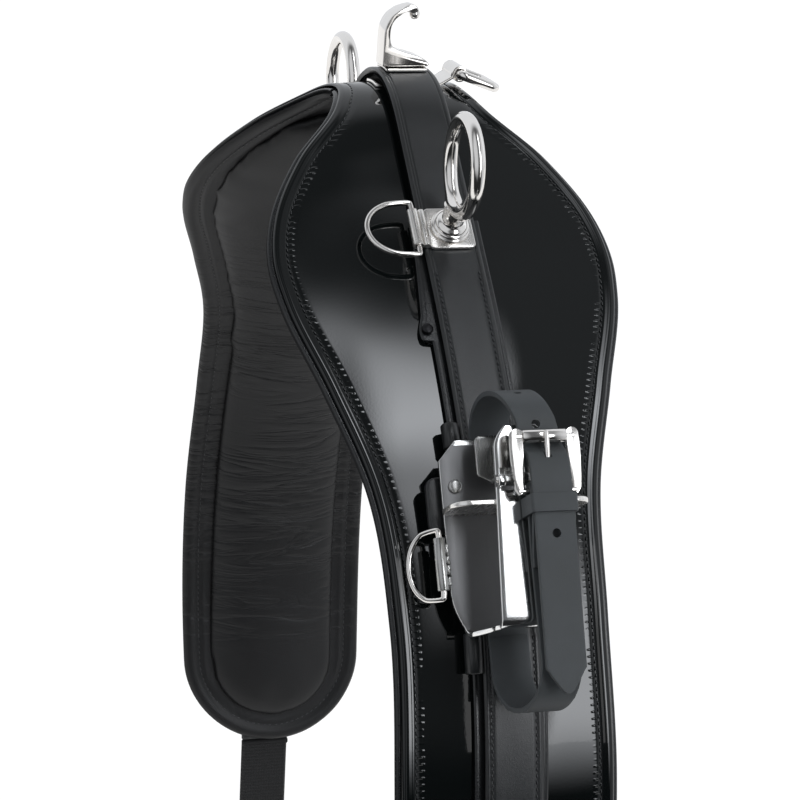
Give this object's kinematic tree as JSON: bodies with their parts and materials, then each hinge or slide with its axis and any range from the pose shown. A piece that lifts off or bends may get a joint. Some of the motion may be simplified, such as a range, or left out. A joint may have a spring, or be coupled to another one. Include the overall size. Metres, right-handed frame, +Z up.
{
  "type": "driving harness saddle",
  "caption": "Black driving harness saddle with patent skirt, padded panels, polished water hook, terrets and sprung couplers, buckled safety straps and hanging girth billets",
  "frame": {"origin": "Underside of the panels at the top of the arch, in the middle plane, where the saddle sits over the horse's spine", "axes": "+X runs to the horse's tail, +Y to its right (far) side, +Z up"},
  "size_m": [0.1851, 0.5976, 0.7219],
  "materials": {
    "patent_leather": "black patent, mirror gloss",
    "strap_leather": "black bridle leather, satin",
    "lining_leather": "black lining leather, matt",
    "soft_strap": "dark grey worn leather, matt",
    "billet_webbing": "black flat webbing",
    "polished_steel": "mirror-polished stainless steel",
    "tree_steel": "dark blued spring steel"
  },
  "bodies": {
    "saddle": {"patent_skirt": "patent_leather", "main_strap": "strap_leather", "tree_arch": "tree_steel", "water_hook": "polished_steel", "hook_plate": "polished_steel", "hook_nut": "polished_steel", "crupper_clip": "polished_steel", "near_panel": "lining_leather", "near_strap_backing": "strap_leather", "near_strap_stud": "tree_steel", "near_terret": "polished_steel", "near_terret_nut": "polished_steel", "near_terret_plate": "polished_steel", "near_dee_clip": "polished_steel", "near_coupler": "polished_steel", "near_coupler_shelf": "polished_steel", "near_coupler_pad": "strap_leather", "near_coupler_bolt_front": "polished_steel", "near_coupler_bolt_rear": "polished_steel", "near_latch_pin": "polished_steel", "near_safety_strap": "soft_strap", "near_safety_keeper": "soft_strap", "near_buckle_frame": "polished_steel", "near_upper_loop": "strap_leather", "near_lower_loop": "strap_leather", "far_panel": "lining_leather", "far_strap_backing": "strap_leather", "far_strap_stud": "tree_steel", "far_terret": "polished_steel", "far_terret_nut": "polished_steel", "far_terret_plate": "polished_steel", "far_dee_clip": "polished_steel", "far_coupler": "polished_steel", "far_coupler_shelf": "polished_steel", "far_coupler_pad": "strap_leather", "far_coupler_bolt_front": "polished_steel", "far_coupler_bolt_rear": "polished_steel", "far_latch_pin": "polished_steel", "far_safety_strap": "soft_strap", "far_safety_keeper": "soft_strap", "far_buckle_frame": "polished_steel", "far_upper_loop": "strap_leather", "far_lower_loop": "strap_leather"},
    "crupper_loop": {"crupper_loop": "polished_steel"},
    "near_terret_dee": {"near_terret_dee": "polished_steel"},
    "near_coupler_dee": {"near_coupler_dee": "polished_steel"},
    "near_coupler_latch": {"near_coupler_latch": "polished_steel"},
    "near_buckle_roller": {"near_buckle_roller": "polished_steel"},
    "near_buckle_prong": {"near_buckle_prong": "polished_steel"},
    "near_billet": {"near_billet": "billet_webbing"},
    "far_terret_dee": {"far_terret_dee": "polished_steel"},
    "far_coupler_dee": {"far_coupler_dee": "polished_steel"},
    "far_coupler_latch": {"far_coupler_latch": "polished_steel"},
    "far_buckle_roller": {"far_buckle_roller": "polished_steel"},
    "far_buckle_prong": {"far_buckle_prong": "polished_steel"},
    "far_billet": {"far_billet": "billet_webbing"}
  },
  "joints": [
    {"name": "crupper_loop_swing", "type": "hinge", "parent": "saddle", "child": "crupper_loop", "pos_m": [0.0298, 0, 0.0147], "axis": [0, -1, 0], "range_deg": [0, 130]},
    {"name": "near_terret_dee_swing", "type": "hinge", "parent": "saddle", "child": "near_terret_dee", "pos_m": [-0.0184, -0.0993, -0.04847], "axis": [0, 0.7422, 0.6702], "range_deg": [0, 120]},
    {"name": "near_coupler_dee_swing", "type": "hinge", "parent": "saddle", "child": "near_coupler_dee", "pos_m": [-0.0353, -0.22615, -0.18626], "axis": [0, 0.4751, 0.8799], "range_deg": [0, 140]},
    {"name": "near_coupler_latch_lift", "type": "hinge", "parent": "saddle", "child": "near_coupler_latch", "pos_m": [-0.0056, -0.24278, -0.13864], "axis": [-1, 0, 0], "range_deg": [0, 20], "stiffness_Nm_per_rad": 0.06, "springref_deg": -22.92},
    {"name": "near_buckle_roller_spin", "type": "hinge", "parent": "saddle", "child": "near_buckle_roller", "pos_m": [0.0085, -0.23953, -0.11852], "axis": [1, 0, 0], "continuous": true},
    {"name": "near_buckle_prong_swing", "type": "hinge", "parent": "saddle", "child": "near_buckle_prong", "pos_m": [0.0085, -0.25097, -0.14246], "axis": [1, 0, 0], "range_deg": [0, 10]},
    {"name": "near_billet_swing", "type": "hinge", "parent": "saddle", "child": "near_billet", "pos_m": [0, -0.24128, -0.46892], "axis": [-1, 0, 0], "range_deg": [-15, 60]},
    {"name": "far_terret_dee_swing", "type": "hinge", "parent": "saddle", "child": "far_terret_dee", "pos_m": [-0.0184, 0.0993, -0.04847], "axis": [0, 0.7422, -0.6702], "range_deg": [0, 120]},
    {"name": "far_coupler_dee_swing", "type": "hinge", "parent": "saddle", "child": "far_coupler_dee", "pos_m": [-0.0353, 0.22615, -0.18626], "axis": [0, 0.4751, -0.8799], "range_deg": [0, 140]},
    {"name": "far_coupler_latch_lift", "type": "hinge", "parent": "saddle", "child": "far_coupler_latch", "pos_m": [-0.0056, 0.24278, -0.13864], "axis": [1, 0, 0], "range_deg": [0, 20], "stiffness_Nm_per_rad": 0.06, "springref_deg": -22.92},
    {"name": "far_buckle_roller_spin", "type": "hinge", "parent": "saddle", "child": "far_buckle_roller", "pos_m": [0.0085, 0.23953, -0.11852], "axis": [1, 0, 0], "continuous": true},
    {"name": "far_buckle_prong_swing", "type": "hinge", "parent": "saddle", "child": "far_buckle_prong", "pos_m": [0.0085, 0.25097, -0.14246], "axis": [-1, 0, 0], "range_deg": [0, 10]},
    {"name": "far_billet_swing", "type": "hinge", "parent": "saddle", "child": "far_billet", "pos_m": [0, 0.24128, -0.46892], "axis": [1, 0, 0], "range_deg": [-15, 60]}
  ]
}
